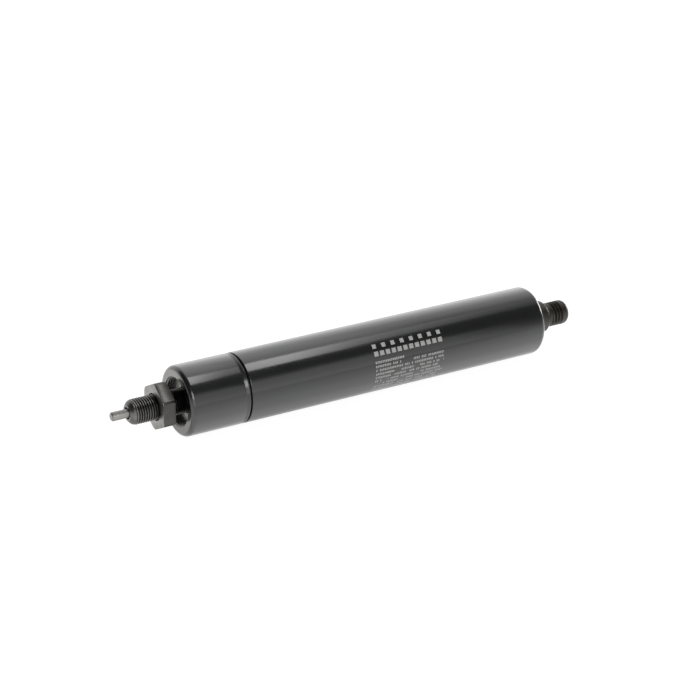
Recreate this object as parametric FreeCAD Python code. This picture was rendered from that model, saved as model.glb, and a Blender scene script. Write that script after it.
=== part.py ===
# Locking gas spring: a pressure tube with a screwed front collar, a hollow rod with a release pin,
# a valve piston, a floating separator piston, a gas chamber and a rear mounting stud.
# Millimetres, +Z up. The axis is X: the rod leaves towards -X and the rear stud points to +X.
# The origin is on the axis, where the rear stud's plain shank leaves its cone.
# The spring is drawn retracted and locked, as it is delivered.
import FreeCAD
import Part

import os
from math import cos, pi, radians, sin, sqrt, tan

Vector = FreeCAD.Vector
X_AXIS = Vector(1, 0, 0)

# Fits, all radial
SLIDE_GAP = 0.05  # between pieces that slide or turn on each other
SEAT_GAP = 0.02  # between pieces that stand still in each other
FACE_GAP = 0.05  # along the axis, between faces that move apart or turn on each other

# Standard 60 degree thread, as shares of its pitch
THREAD_DEPTH = 0.5413
THREAD_CREST = 1 / 8
THREAD_ROOT = 1 / 4

# The two threads that a mate screws on are drawn as narrow grooves in a plain wall, at their real
# pitch and depth, so that the wall that carries the mate keeps its full width
GROOVE_MOUTH = 0.45
GROOVE_FLOOR = 0.1

# What the spring does
STROKE = 50.0
RELEASE_TRAVEL = 2.5

# Pressure tube, with a threaded neck at the front and a lip rolled over the plug at the rear
TUBE_D = 28.0
TUBE_WALL = 3.0
TUBE_REAR_ROUND = 3.0
TUBE_FRONT_CHAMFER = 0.3
LIP_WIDTH = 1.7  # how far the lip reaches over the plug
LIP_LENGTH = 1.8
NECK_LENGTH = 12.5
NECK_SHOULDER = 1.0  # from the tube's outside down to the thread's crests
NECK_THREAD_PITCH = 1.0
NECK_THREAD_TURNS = 9
NECK_LEAD = 1.3  # from the neck's front end to the first thread

# Front collar, with a threaded mouth for a release head
COLLAR_LENGTH = 25.8  # from its face to the tube's shoulder
COLLAR_FRONT_ROUND = 2.0
COLLAR_BEVEL_LENGTH = 2.0
COLLAR_BEVEL_DEPTH = 0.4
SEAM_GAP = 0.75  # left open between the collar and the tube's shoulder
MOUTH_THREAD_D = 20.0
MOUTH_THREAD_PITCH = 1.0
MOUTH_THREAD_TURNS = 3
MOUTH_CHAMFER = 0.55
MOUTH_DEPTH = 4.2
COLLAR_BORE_D = 11.2  # where the rod passes the mouth's floor
LIP_ROOM = 0.4  # left round the wiper's lip, behind the floor

# Piston rod
ROD_D = 10.0
ROD_REACH = 20.6  # from the collar's face to the rod's tip, retracted
ROD_TIP_D = 6.6
ROD_TIP_CHAMFER = 1.6
ROD_TIP_ROUND = 3.0  # where the chamfer meets the rod's side
ROD_THREAD_LEAD = 3.1  # from the tip to the first thread groove
ROD_THREAD_PITCH = 1.0
ROD_THREAD_LENGTH = 27.0
ROD_RECESS_D = 4.8
ROD_RECESS_DEPTH = 2.5
SPIGOT_D = 8.0
SPIGOT_THREAD_PITCH = 0.75
SPIGOT_THREAD_TURNS = 11
SPIGOT_LENGTH = 9.0  # what stands in the piston

# Jam nut
NUT_ACROSS_FLATS = 17.0
NUT_THICKNESS = 5.0
NUT_FACE_D = 18.4  # where the corner chamfer starts
NUT_CHAMFER_ANGLE = 30.0
NUT_MOUTH = 0.5  # countersink of its thread
NUT_STAND_OFF = 4.3  # from the collar's face to the nut
NUT_LEAD = 0.5  # the rod's grooves give way to the nut's thread at least this far in front of the nut
NUT_TURN = 28.0  # degrees of a corner from -Y towards +Z

# Release train inside the rod
PIN_D = 3.5
PIN_REACH = 6.7  # from the rod's tip to the pin's tip
PIN_LENGTH = 27.0
PIN_CHAMFER = 0.4
PUSH_ROD_D = 3.0

# Valve in the piston
STEM_D = 3.0
STEM_SHAFT_LENGTH = 10.0
STEM_NECK_D = 2.4
VALVE_HEAD_D = 6.4
VALVE_HEAD_THICKNESS = 1.6
VALVE_HEAD_CHAMFER = 0.5
VALVE_SEAT_D = 11.0
VALVE_SEAT_BORE_D = 4.0
VALVE_SEAT_THICKNESS = 1.8
VALVE_RETAINER_BORE_D = 7.4
VALVE_RETAINER_THICKNESS = 2.4
VALVE_CHAMBER_D = 6.4
VALVE_CHAMBER_LENGTH = 4.8
PORT_D = 2.0
PORT_COUNT = 4
PORT_SET_BACK = 1.9  # from the chamber's front to the ports' centres
STEM_SEAL_THICKNESS = 1.3
STEM_GUIDE_LENGTH = 4.4

# Piston
PISTON_LAND_LENGTH = 5.4
PISTON_LAND_GAP = 0.15
PISTON_FRONT_GAP = 0.8
PISTON_GROOVE_WIDTH = 3.2
PISTON_RING_THICKNESS = 1.0
PISTON_O_RING_THICKNESS = 1.5
REBOUND_WASHER_GAP = 1.5
REBOUND_WASHER_THICKNESS = 2.0
END_GAP = 1.5  # left in front of the rebound washer when the rod is fully out

# Guide and seal pack, from the front
GUIDE_LENGTH = 15.0
GUIDE_FLANGE_THICKNESS = 1.3
WIPER_D = 15.0
WIPER_THICKNESS = 2.8
WIPER_LIP_D = 12.4
WIPER_LIP_LENGTH = 1.2
SEAL_WASHER_THICKNESS = 1.5
ROD_SEAL_THICKNESS = 5.0
ROD_SEAL_GROOVE_WIDTH = 1.8
ROD_SEAL_GROOVE_DEPTH = 2.6
SEAL_RETAINER_THICKNESS = 2.0
SEAL_RETAINER_WIDTH = 3.0
SNAP_RING_THICKNESS = 1.2
SNAP_RING_GROOVE_DEPTH = 0.8
SNAP_RING_WIDTH = 2.0
SNAP_RING_MOUTH = 20.0  # degrees left open

# Static and separator O-rings
O_RING_THICKNESS = 1.8
O_RING_GROOVE_WIDTH = 2.4

# Separator piston and gas chamber
SEPARATOR_LENGTH = 11.0
SEPARATOR_CUP_WALL = 4.0
SEPARATOR_CUP_DEPTH = 5.0
SEPARATOR_CUP_ROUND = 1.5
SEPARATOR_GROOVE_INSET = 3.0
SEPARATOR_REST_GAP = 1.5  # from the open valve to the separator, retracted
GAS_LENGTH = 26.8

# End plug and rear stud
PLUG_LENGTH = 12.0
PLUG_CHAMFER = 0.6
PLUG_GROOVE_SET_BACK = 5.0
BOSS_D = 13.0
BOSS_LENGTH = 6.5
STUD_D = 10.0
STUD_LENGTH = 10.0
STUD_SHANK = 1.0
STUD_THREAD_PITCH = 1.5
STUD_THREAD_TURNS = 5
STUD_TIP_CHAMFER = 1.2
STUD_ROOT_D = 10.0
STUD_ROOT_LENGTH = 8.0

# Radii used by more than one piece
tube_r = TUBE_D / 2
bore_r = tube_r - TUBE_WALL
lip_r = bore_r - LIP_WIDTH
neck_thread_d = TUBE_D - 2 * NECK_SHOULDER
rod_r = ROD_D / 2
on_rod_r = rod_r + SLIDE_GAP
in_bore_r = bore_r - SEAT_GAP
rod_hole_r = PIN_D / 2 + SLIDE_GAP
stem_pocket_r = STEM_D / 2 + SLIDE_GAP + STEM_SEAL_THICKNESS + SEAT_GAP
valve_seat_r = VALVE_SEAT_D / 2

# Places along the axis, from the rear stud to the front
cone_length = (BOSS_D - STUD_D) / 2
boss_rear = -cone_length
rear_face = boss_rear - BOSS_LENGTH
plug_front = rear_face - PLUG_LENGTH
separator_rear = plug_front - GAS_LENGTH
separator_front = separator_rear - SEPARATOR_LENGTH
piston_rear = separator_front - SEPARATOR_REST_GAP - RELEASE_TRAVEL
seat_rear = piston_rear - VALVE_RETAINER_THICKNESS
seat_front = seat_rear - VALVE_SEAT_THICKNESS
chamber_front = seat_front - VALVE_CHAMBER_LENGTH
piston_front = chamber_front - SPIGOT_LENGTH
rod_shoulder = piston_front - REBOUND_WASHER_THICKNESS
pack_rear = rod_shoulder - END_GAP - STROKE
retainer_rear = pack_rear - SNAP_RING_THICKNESS
seal_rear = retainer_rear - SEAL_RETAINER_THICKNESS
seal_washer_rear = seal_rear - ROD_SEAL_THICKNESS
guide_rear = seal_washer_rear - SEAL_WASHER_THICKNESS
guide_front = guide_rear - GUIDE_LENGTH
neck_front = guide_front + GUIDE_FLANGE_THICKNESS
seam = neck_front + NECK_LENGTH
collar_face = seam - COLLAR_LENGTH
rod_tip = collar_face - ROD_REACH
nut_rear = collar_face - NUT_STAND_OFF
nut_front = nut_rear - NUT_THICKNESS
pin_tip = rod_tip - PIN_REACH
pin_rear = pin_tip + PIN_LENGTH
stem_front = chamber_front - STEM_SHAFT_LENGTH
neck_thread_start = neck_front + NECK_LEAD
rod_thread_start = rod_tip + ROD_THREAD_LEAD
free_turns = int((nut_front - NUT_LEAD - rod_thread_start) / ROD_THREAD_PITCH)
nut_thread_start = rod_thread_start + free_turns * ROD_THREAD_PITCH
nut_thread_turns = int(ROD_THREAD_LENGTH / ROD_THREAD_PITCH) - free_turns
spigot_thread_start = piston_front + (SPIGOT_LENGTH - SPIGOT_THREAD_TURNS * SPIGOT_THREAD_PITCH) / 2


def rounded_corner(before, corner, after, radius):
    """The two tangent points and the middle of an arc that rounds a corner of an outline."""
    room = 0.95 * min((before - corner).Length, (after - corner).Length)
    to_before = (before - corner).normalize()
    to_after = (after - corner).normalize()
    half = to_before.getAngle(to_after) / 2
    bisector = (to_before + to_after).normalize()
    reach = min(radius / tan(half), room)
    radius = reach * tan(half)
    middle = corner + bisector * (radius / sin(half) - radius)
    return corner + to_before * reach, middle, corner + to_after * reach


def turned(outline):
    """A solid turned about X. Each point is (x, r), or (x, r, radius) where the corner is rounded."""
    corners = [Vector(p[0], p[1], 0) for p in outline]
    roundings = [p[2] if len(p) > 2 else 0 for p in outline]
    edges = []
    ends = []
    for i, corner in enumerate(corners):
        if roundings[i]:
            before, after = corners[i - 1], corners[(i + 1) % len(corners)]
            start, middle, end = rounded_corner(before, corner, after, roundings[i])
            edges.append(Part.Arc(start, middle, end).toShape())
            ends.append((start, end))
        else:
            ends.append((corner, corner))
    for (_, leave), (arrive, _) in zip(ends, ends[1:] + ends[:1]):
        edges.append(Part.LineSegment(leave, arrive).toShape())
    wire = Part.Wire(Part.__sortEdges__(edges))
    return Part.Face(wire).revolve(Vector(0, 0, 0), X_AXIS, 360)


def ring(front, rear, inner_r, outer_r, chamfer=0.0):
    """A plain ring, with its outer edges chamfered where asked."""
    outline = [(front, inner_r)]
    if chamfer:
        outline += [(front, outer_r - chamfer), (front + chamfer, outer_r)]
        outline += [(rear - chamfer, outer_r), (rear, outer_r - chamfer)]
    else:
        outline += [(front, outer_r), (rear, outer_r)]
    return turned(outline + [(rear, inner_r)])


def root_radius(diameter, pitch):
    return diameter / 2 - THREAD_DEPTH * pitch


def ridges(start, turns, diameter, pitch, gap=0.0):
    """Points of a thread drawn as rings: each ridge rises from the root to the crest and back."""
    flank = pitch * (1 - THREAD_CREST - THREAD_ROOT) / 2
    root_r = root_radius(diameter, pitch) + gap
    crest_r = diameter / 2 + gap
    points = []
    for turn in range(turns):
        foot = start + turn * pitch
        points.append((foot, root_r))
        points.append((foot + flank, crest_r))
        points.append((foot + flank + THREAD_CREST * pitch, crest_r))
        points.append((foot + 2 * flank + THREAD_CREST * pitch, root_r))
    return points


def grooves(start, turns, diameter, pitch):
    """Points of a mating thread drawn as narrow grooves, the first one beginning at the start."""
    slope = (GROOVE_MOUTH - GROOVE_FLOOR) / 2
    root_r = root_radius(diameter, pitch)
    points = []
    for turn in range(turns):
        mouth = start + turn * pitch
        points.append((mouth, diameter / 2))
        points.append((mouth + slope, root_r))
        points.append((mouth + slope + GROOVE_FLOOR, root_r))
        points.append((mouth + GROOVE_MOUTH, diameter / 2))
    return points


def tap(front, rear, start, turns, diameter, pitch, gap):
    """What a tap takes out between two faces, in step with the ridges of the mating thread."""
    root_r = root_radius(diameter, pitch) + gap
    thread = [p for p in ridges(start, turns, diameter, pitch, gap) if front < p[0] < rear]
    return turned([(front, 0), (front, root_r)] + thread + [(rear, root_r), (rear, 0)])


def o_ring(centre, inner_r, outer_r):
    """A round-section ring between two radii."""
    section_r = (outer_r - inner_r) / 2
    return Part.makeTorus(inner_r + section_r, section_r, Vector(centre, 0, 0), X_AXIS)


def bore_o_ring(centre, outer_r):
    return o_ring(centre, outer_r - O_RING_THICKNESS, outer_r)


def o_ring_groove(centre, outer_r):
    """What is turned away for an O-ring that seals outwards."""
    half = O_RING_GROOVE_WIDTH / 2
    return ring(centre - half, centre + half, outer_r - O_RING_THICKNESS - SEAT_GAP, tube_r)


def pressure_tube():
    neck_root_r = root_radius(neck_thread_d, NECK_THREAD_PITCH)
    outline = [(neck_front, bore_r), (neck_front, neck_root_r)]
    outline += ridges(neck_thread_start, NECK_THREAD_TURNS, neck_thread_d, NECK_THREAD_PITCH)
    outline += [(seam, neck_root_r), (seam, tube_r - TUBE_FRONT_CHAMFER)]
    outline += [(seam + TUBE_FRONT_CHAMFER, tube_r), (rear_face, tube_r, TUBE_REAR_ROUND)]
    outline += [(rear_face, lip_r), (rear_face - LIP_LENGTH, lip_r)]
    outline += [(rear_face - LIP_LENGTH, bore_r)]
    groove = ring(retainer_rear, pack_rear, 0, bore_r + SNAP_RING_GROOVE_DEPTH)
    return turned(outline).cut(groove)


def front_collar():
    """A threaded mouth with a flat floor, a bore for the rod, room for the lip, and a threaded socket."""
    mouth_r = root_radius(MOUTH_THREAD_D, MOUTH_THREAD_PITCH)
    mouth_floor = collar_face + MOUTH_DEPTH
    lip_room_r = WIPER_LIP_D / 2 + LIP_ROOM
    lip_room_front = guide_front - WIPER_LIP_LENGTH - LIP_ROOM
    collar_rear = seam - SEAM_GAP
    blank = turned([
        (collar_face, mouth_r + MOUTH_CHAMFER),
        (collar_face, tube_r, COLLAR_FRONT_ROUND),
        (collar_rear - COLLAR_BEVEL_LENGTH, tube_r),
        (collar_rear, tube_r - COLLAR_BEVEL_DEPTH),
        (collar_rear, lip_room_r),
        (lip_room_front, lip_room_r),
        (lip_room_front, COLLAR_BORE_D / 2),
        (mouth_floor, COLLAR_BORE_D / 2),
        (mouth_floor, mouth_r),
        (collar_face + MOUTH_CHAMFER, mouth_r),
    ])
    mouth = tap(collar_face, mouth_floor, collar_face + MOUTH_CHAMFER, MOUTH_THREAD_TURNS,
                MOUTH_THREAD_D, MOUTH_THREAD_PITCH, 0)
    socket = tap(guide_front, seam, neck_thread_start, NECK_THREAD_TURNS,
                 neck_thread_d, NECK_THREAD_PITCH, SEAT_GAP)
    return blank.cut(mouth).cut(socket)


def guide_bush():
    """A flanged bush that the collar clamps on the neck, with a pocket for the wiper."""
    flange_r = root_radius(neck_thread_d, NECK_THREAD_PITCH)
    wiper_r = WIPER_D / 2 + SEAT_GAP
    body = turned([
        (guide_front, wiper_r),
        (guide_front, flange_r),
        (neck_front, flange_r),
        (neck_front, in_bore_r),
        (guide_rear, in_bore_r),
        (guide_rear, on_rod_r),
        (guide_front + WIPER_THICKNESS, on_rod_r),
        (guide_front + WIPER_THICKNESS, wiper_r),
    ])
    return body.cut(o_ring_groove((neck_front + guide_rear) / 2, bore_r - SEAT_GAP))


def guide_o_ring():
    return bore_o_ring((neck_front + guide_rear) / 2, bore_r - SEAT_GAP)


def wiper_ring():
    """A ring with a thin lip on the rod, turned towards the front."""
    lip_front = guide_front - WIPER_LIP_LENGTH
    return turned([
        (lip_front, on_rod_r),
        (lip_front, on_rod_r + (WIPER_LIP_D / 2 - on_rod_r) / 2),
        (guide_front, WIPER_LIP_D / 2),
        (guide_front, WIPER_D / 2),
        (guide_front + WIPER_THICKNESS, WIPER_D / 2),
        (guide_front + WIPER_THICKNESS, on_rod_r),
    ])


def seal_washer():
    return ring(guide_rear, seal_washer_rear, on_rod_r, in_bore_r)


def rod_seal():
    """A cup seal whose lips open towards the pressure."""
    groove_r = (on_rod_r + in_bore_r) / 2
    groove_floor = seal_rear - ROD_SEAL_GROOVE_DEPTH
    return turned([
        (seal_washer_rear, on_rod_r),
        (seal_washer_rear, in_bore_r),
        (seal_rear, in_bore_r),
        (seal_rear, groove_r + ROD_SEAL_GROOVE_WIDTH / 2),
        (groove_floor, groove_r + ROD_SEAL_GROOVE_WIDTH / 4),
        (groove_floor, groove_r - ROD_SEAL_GROOVE_WIDTH / 4),
        (seal_rear, groove_r - ROD_SEAL_GROOVE_WIDTH / 2),
        (seal_rear, on_rod_r),
    ])


def seal_retainer():
    return ring(seal_rear, retainer_rear, in_bore_r - SEAL_RETAINER_WIDTH, in_bore_r)


def snap_ring():
    """A flat ring with a mouth, sprung into the tube's inner groove."""
    outer_r = bore_r + SNAP_RING_GROOVE_DEPTH - SEAT_GAP
    whole = ring(retainer_rear, pack_rear, outer_r - SNAP_RING_WIDTH, outer_r)
    reach = TUBE_D
    half = radians(SNAP_RING_MOUTH / 2)
    apex = Vector(retainer_rear, 0, 0)
    left = Vector(retainer_rear, -reach * sin(half), -reach * cos(half))
    right = Vector(retainer_rear, reach * sin(half), -reach * cos(half))
    mouth = Part.Face(Part.makePolygon([apex, left, right, apex]))
    return whole.cut(mouth.extrude(X_AXIS * SNAP_RING_THICKNESS))


def end_plug():
    """A plug under the rolled lip, with a blind hole for the stud's root."""
    lip_front = rear_face - LIP_LENGTH
    land_r = lip_r - SEAT_GAP
    root_r = STUD_ROOT_D / 2 + SEAT_GAP
    hole_floor = rear_face - STUD_ROOT_LENGTH - SEAT_GAP
    body = turned([
        (plug_front, 0),
        (plug_front, in_bore_r - PLUG_CHAMFER),
        (plug_front + PLUG_CHAMFER, in_bore_r),
        (lip_front, in_bore_r),
        (lip_front, land_r),
        (rear_face, land_r),
        (rear_face, root_r),
        (hole_floor, root_r),
        (hole_floor, 0),
    ])
    return body.cut(o_ring_groove(plug_front + PLUG_GROOVE_SET_BACK, bore_r - SEAT_GAP))


def end_plug_o_ring():
    return bore_o_ring(plug_front + PLUG_GROOVE_SET_BACK, bore_r - SEAT_GAP)


def rear_stud():
    """Root in the plug, boss on the tube's end, cone, plain shank and thread."""
    outline = [
        (rear_face - STUD_ROOT_LENGTH, 0),
        (rear_face - STUD_ROOT_LENGTH, STUD_ROOT_D / 2),
        (rear_face, STUD_ROOT_D / 2),
        (rear_face, BOSS_D / 2),
        (boss_rear, BOSS_D / 2),
        (0, STUD_D / 2),
    ]
    outline += grooves(STUD_SHANK, STUD_THREAD_TURNS, STUD_D, STUD_THREAD_PITCH)
    outline += [
        (STUD_LENGTH - STUD_TIP_CHAMFER, STUD_D / 2),
        (STUD_LENGTH, STUD_D / 2 - STUD_TIP_CHAMFER),
        (STUD_LENGTH, 0),
    ]
    return turned(outline)


def piston_rod():
    """A hollow rod with a threaded front end and a threaded spigot for the piston."""
    spigot_root_r = root_radius(SPIGOT_D, SPIGOT_THREAD_PITCH)
    run_out = rod_r - root_radius(ROD_D, ROD_THREAD_PITCH)
    thread_end = nut_thread_start + nut_thread_turns * ROD_THREAD_PITCH
    pocket_front = chamber_front - STEM_GUIDE_LENGTH - STEM_SEAL_THICKNESS - FACE_GAP
    outline = [
        (rod_tip, ROD_RECESS_D / 2),
        (rod_tip, ROD_TIP_D / 2),
        (rod_tip + ROD_TIP_CHAMFER, rod_r, ROD_TIP_ROUND),
    ]
    outline += grooves(rod_thread_start, free_turns, ROD_D, ROD_THREAD_PITCH)
    outline.append((nut_thread_start - THREAD_CREST * ROD_THREAD_PITCH, rod_r))
    outline += ridges(nut_thread_start, nut_thread_turns, ROD_D, ROD_THREAD_PITCH)
    outline += [
        (thread_end, rod_r - run_out),
        (thread_end + run_out, rod_r),
        (rod_shoulder, rod_r),
        (rod_shoulder, spigot_root_r),
    ]
    outline += ridges(spigot_thread_start, SPIGOT_THREAD_TURNS, SPIGOT_D, SPIGOT_THREAD_PITCH)
    outline += [
        (chamber_front, spigot_root_r),
        (chamber_front, stem_pocket_r),
        (pocket_front, stem_pocket_r),
        (pocket_front, rod_hole_r),
        (rod_tip + ROD_RECESS_DEPTH, rod_hole_r),
        (rod_tip + ROD_RECESS_DEPTH, ROD_RECESS_D / 2),
    ]
    return turned(outline)


def jam_nut():
    """A thin hexagon nut, chamfered on both faces and tapped in step with the rod's thread."""
    corner_r = NUT_ACROSS_FLATS / sqrt(3)
    turns = [radians(NUT_TURN + 60 * i) for i in range(7)]
    corners = [Vector(nut_front, -corner_r * cos(a), corner_r * sin(a)) for a in turns]
    hexagon = Part.Face(Part.makePolygon(corners)).extrude(X_AXIS * NUT_THICKNESS)
    chamfer = (corner_r - NUT_FACE_D / 2) * tan(radians(NUT_CHAMFER_ANGLE))
    blank = hexagon.common(turned([
        (nut_front, 0),
        (nut_front, NUT_FACE_D / 2),
        (nut_front + chamfer, corner_r),
        (nut_rear - chamfer, corner_r),
        (nut_rear, NUT_FACE_D / 2),
        (nut_rear, 0),
    ]))
    thread = tap(nut_front - ROD_THREAD_PITCH, nut_rear + ROD_THREAD_PITCH, nut_thread_start,
                 nut_thread_turns, ROD_D, ROD_THREAD_PITCH, SEAT_GAP)
    mouth_r = rod_r + SEAT_GAP
    mouths = turned([
        (nut_front, 0),
        (nut_front, mouth_r + NUT_MOUTH),
        (nut_front + NUT_MOUTH, mouth_r),
        (nut_front + NUT_MOUTH, 0),
    ]).fuse(turned([
        (nut_rear, 0),
        (nut_rear, mouth_r + NUT_MOUTH),
        (nut_rear - NUT_MOUTH, mouth_r),
        (nut_rear - NUT_MOUTH, 0),
    ]))
    return blank.cut(thread).cut(mouths)


def rebound_washer():
    return ring(rod_shoulder, piston_front, SPIGOT_D / 2 + SEAT_GAP, bore_r - REBOUND_WASHER_GAP)


def piston_body():
    """Screwed on the rod's spigot, with radial ports in front of its sealing land."""
    land_r = bore_r - PISTON_LAND_GAP
    land_front = piston_rear - PISTON_LAND_LENGTH
    groove_front = land_front + (PISTON_LAND_LENGTH - PISTON_GROOVE_WIDTH) / 2
    groove_floor_r = bore_r - SLIDE_GAP - PISTON_RING_THICKNESS - PISTON_O_RING_THICKNESS - 3 * SEAT_GAP
    body = turned([
        (piston_front, 0),
        (piston_front, bore_r - PISTON_FRONT_GAP),
        (land_front, bore_r - PISTON_FRONT_GAP),
        (land_front, land_r),
        (groove_front, land_r),
        (groove_front, groove_floor_r),
        (groove_front + PISTON_GROOVE_WIDTH, groove_floor_r),
        (groove_front + PISTON_GROOVE_WIDTH, land_r),
        (piston_rear, land_r),
        (piston_rear, valve_seat_r + SEAT_GAP),
        (seat_front, valve_seat_r + SEAT_GAP),
        (seat_front, VALVE_CHAMBER_D / 2),
        (chamber_front, VALVE_CHAMBER_D / 2),
        (chamber_front, 0),
    ])
    thread = tap(piston_front, chamber_front, spigot_thread_start, SPIGOT_THREAD_TURNS,
                 SPIGOT_D, SPIGOT_THREAD_PITCH, SEAT_GAP)
    body = body.cut(thread)
    for i in range(PORT_COUNT):
        turn = 2 * pi * i / PORT_COUNT
        centre = Vector(chamber_front + PORT_SET_BACK, 0, 0)
        way_out = Vector(0, cos(turn), sin(turn))
        body = body.cut(Part.makeCylinder(PORT_D / 2, bore_r, centre, way_out))
    return body


def piston_seal_centre():
    return piston_rear - PISTON_LAND_LENGTH / 2


def piston_ring():
    half = PISTON_GROOVE_WIDTH / 2 - FACE_GAP
    outer_r = bore_r - SLIDE_GAP
    centre = piston_seal_centre()
    return ring(centre - half, centre + half, outer_r - PISTON_RING_THICKNESS, outer_r)


def piston_o_ring():
    outer_r = bore_r - SLIDE_GAP - PISTON_RING_THICKNESS - 2 * SEAT_GAP
    return o_ring(piston_seal_centre(), outer_r - PISTON_O_RING_THICKNESS, outer_r)


def stem_seal():
    inner_r = STEM_D / 2 + SLIDE_GAP
    centre = chamber_front - STEM_GUIDE_LENGTH - STEM_SEAL_THICKNESS / 2
    return o_ring(centre, inner_r, inner_r + STEM_SEAL_THICKNESS)


def stem_guide():
    return ring(chamber_front - STEM_GUIDE_LENGTH, chamber_front,
                STEM_D / 2 + SLIDE_GAP, stem_pocket_r - SEAT_GAP)


def valve_seat():
    return ring(seat_front, seat_rear, VALVE_SEAT_BORE_D / 2, valve_seat_r)


def valve_retainer():
    return ring(seat_rear, piston_rear, VALVE_RETAINER_BORE_D / 2, valve_seat_r)


def release_pin():
    return ring(pin_tip, pin_rear, 0, PIN_D / 2, PIN_CHAMFER)


def push_rod():
    return ring(pin_rear, stem_front, 0, PUSH_ROD_D / 2)


def valve_stem():
    """Shaft in the rod, thin neck through the seat, and a head that the gas pressure shuts."""
    head_front = seat_rear + FACE_GAP
    head_rear = head_front + VALVE_HEAD_THICKNESS
    return turned([
        (stem_front, 0),
        (stem_front, STEM_D / 2),
        (chamber_front, STEM_D / 2),
        (chamber_front + (STEM_D - STEM_NECK_D) / 2, STEM_NECK_D / 2),
        (head_front, STEM_NECK_D / 2),
        (head_front, VALVE_HEAD_D / 2),
        (head_rear - VALVE_HEAD_CHAMFER, VALVE_HEAD_D / 2),
        (head_rear, VALVE_HEAD_D / 2 - VALVE_HEAD_CHAMFER),
        (head_rear, 0),
    ])


def separator_groove_centres():
    return separator_front + SEPARATOR_GROOVE_INSET, separator_rear - SEPARATOR_GROOVE_INSET


def separator_piston():
    """Floats between oil and gas, cupped towards the gas."""
    body_r = bore_r - PISTON_LAND_GAP
    cup_r = bore_r - SEPARATOR_CUP_WALL
    body = turned([
        (separator_front, 0),
        (separator_front, body_r),
        (separator_rear, body_r),
        (separator_rear, cup_r),
        (separator_rear - SEPARATOR_CUP_DEPTH, cup_r, SEPARATOR_CUP_ROUND),
        (separator_rear - SEPARATOR_CUP_DEPTH, 0),
    ])
    for centre in separator_groove_centres():
        body = body.cut(o_ring_groove(centre, bore_r - SLIDE_GAP))
    return body


def separator_o_rings():
    rings = [bore_o_ring(centre, bore_r - SLIDE_GAP) for centre in separator_groove_centres()]
    return Part.makeCompound(rings)


PIECES = [
    pressure_tube, front_collar, guide_bush, guide_o_ring, wiper_ring, seal_washer, rod_seal,
    seal_retainer, snap_ring, end_plug, end_plug_o_ring, rear_stud,
    piston_rod, jam_nut, rebound_washer, piston_body, piston_o_ring, stem_seal, stem_guide,
    valve_seat, valve_retainer, piston_ring,
    release_pin, push_rod, valve_stem,
    separator_piston, separator_o_rings,
]

os.makedirs("parts", exist_ok=True)
for piece in PIECES:
    shape = piece()
    shape.exportStep(f"parts/{piece.__name__}.step")
    box = shape.BoundBox
    print(f"{piece.__name__}: {len(shape.Solids)} solid, valid {shape.isValid()}, "
          f"{shape.Volume:.1f} mm3, x {box.XMin:.2f} to {box.XMax:.2f}, r {box.ZMax:.2f}")
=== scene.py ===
# %% [markdown]
# # A locking gas spring, dressed for its portrait
# The construction model already holds every piece at its real size: tube, collar, hollow rod, nut, valve,
# pistons and seals. This lesson keeps that model as a fixed frame. It remakes the pieces that show with
# finer meshes and real helical threads, and gives every piece, inner ones too, the finish that its maker
# would give it.

from math import atan, cos, pi, radians, sin, sqrt, tan

import bpy
from mathutils import Matrix, Vector


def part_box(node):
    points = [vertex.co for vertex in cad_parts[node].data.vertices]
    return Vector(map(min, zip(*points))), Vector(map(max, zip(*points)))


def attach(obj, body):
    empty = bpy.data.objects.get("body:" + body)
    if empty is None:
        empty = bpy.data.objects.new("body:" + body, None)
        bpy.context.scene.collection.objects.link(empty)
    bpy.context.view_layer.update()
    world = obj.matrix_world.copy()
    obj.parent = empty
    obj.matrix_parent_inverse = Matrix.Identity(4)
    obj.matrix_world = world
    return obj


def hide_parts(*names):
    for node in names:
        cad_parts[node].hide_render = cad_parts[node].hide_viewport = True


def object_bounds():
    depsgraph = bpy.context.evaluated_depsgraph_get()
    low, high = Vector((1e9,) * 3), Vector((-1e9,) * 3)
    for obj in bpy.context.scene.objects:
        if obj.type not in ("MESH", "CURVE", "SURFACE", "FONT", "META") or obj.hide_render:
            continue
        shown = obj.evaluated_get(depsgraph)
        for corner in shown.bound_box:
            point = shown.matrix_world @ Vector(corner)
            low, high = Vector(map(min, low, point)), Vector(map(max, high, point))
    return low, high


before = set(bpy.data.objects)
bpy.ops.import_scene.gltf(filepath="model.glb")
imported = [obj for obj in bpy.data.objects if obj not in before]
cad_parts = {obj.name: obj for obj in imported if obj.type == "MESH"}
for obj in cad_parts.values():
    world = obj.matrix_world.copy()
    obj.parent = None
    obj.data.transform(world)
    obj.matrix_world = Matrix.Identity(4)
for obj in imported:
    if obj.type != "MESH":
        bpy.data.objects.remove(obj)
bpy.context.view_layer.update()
print("pieces in the frame:", len(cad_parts))

# %% [markdown]
# ## Working in millimetres
# Blender counts in metres, and a gas spring's drawing is in millimetres. One factor turns one into the
# other. The places along the axis are read from the frame, so that a remade piece sits exactly where the
# built one does. A long list of copied numbers would do as well, but it would go stale when the drawing
# changes.

# %% Millimetres and places along the axis
MM = 0.001


def span(node):
    """Front and rear end of a node along the axis, in millimetres."""
    low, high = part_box(node)
    return low.x / MM, high.x / MM


def reach(node):
    """Largest radius of a node, in millimetres."""
    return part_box(node)[1].z / MM


tube_front, tube_rear = span("pressure_tube")
collar_front, collar_rear = span("front_collar")
rod_front, rod_rear = span("piston_rod")
nut_front, nut_rear = span("jam_nut")
pin_front, pin_rear = span("release_pin")
stud_front, stud_rear = span("rear_stud")
wiper_front, wiper_rear = span("wiper_ring")
bush_front = span("guide_bush")[0]
tube_r = reach("pressure_tube")
print(f"tube {tube_front:.2f} to {tube_rear:.2f} mm, radius {tube_r:.2f} mm")

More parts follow.
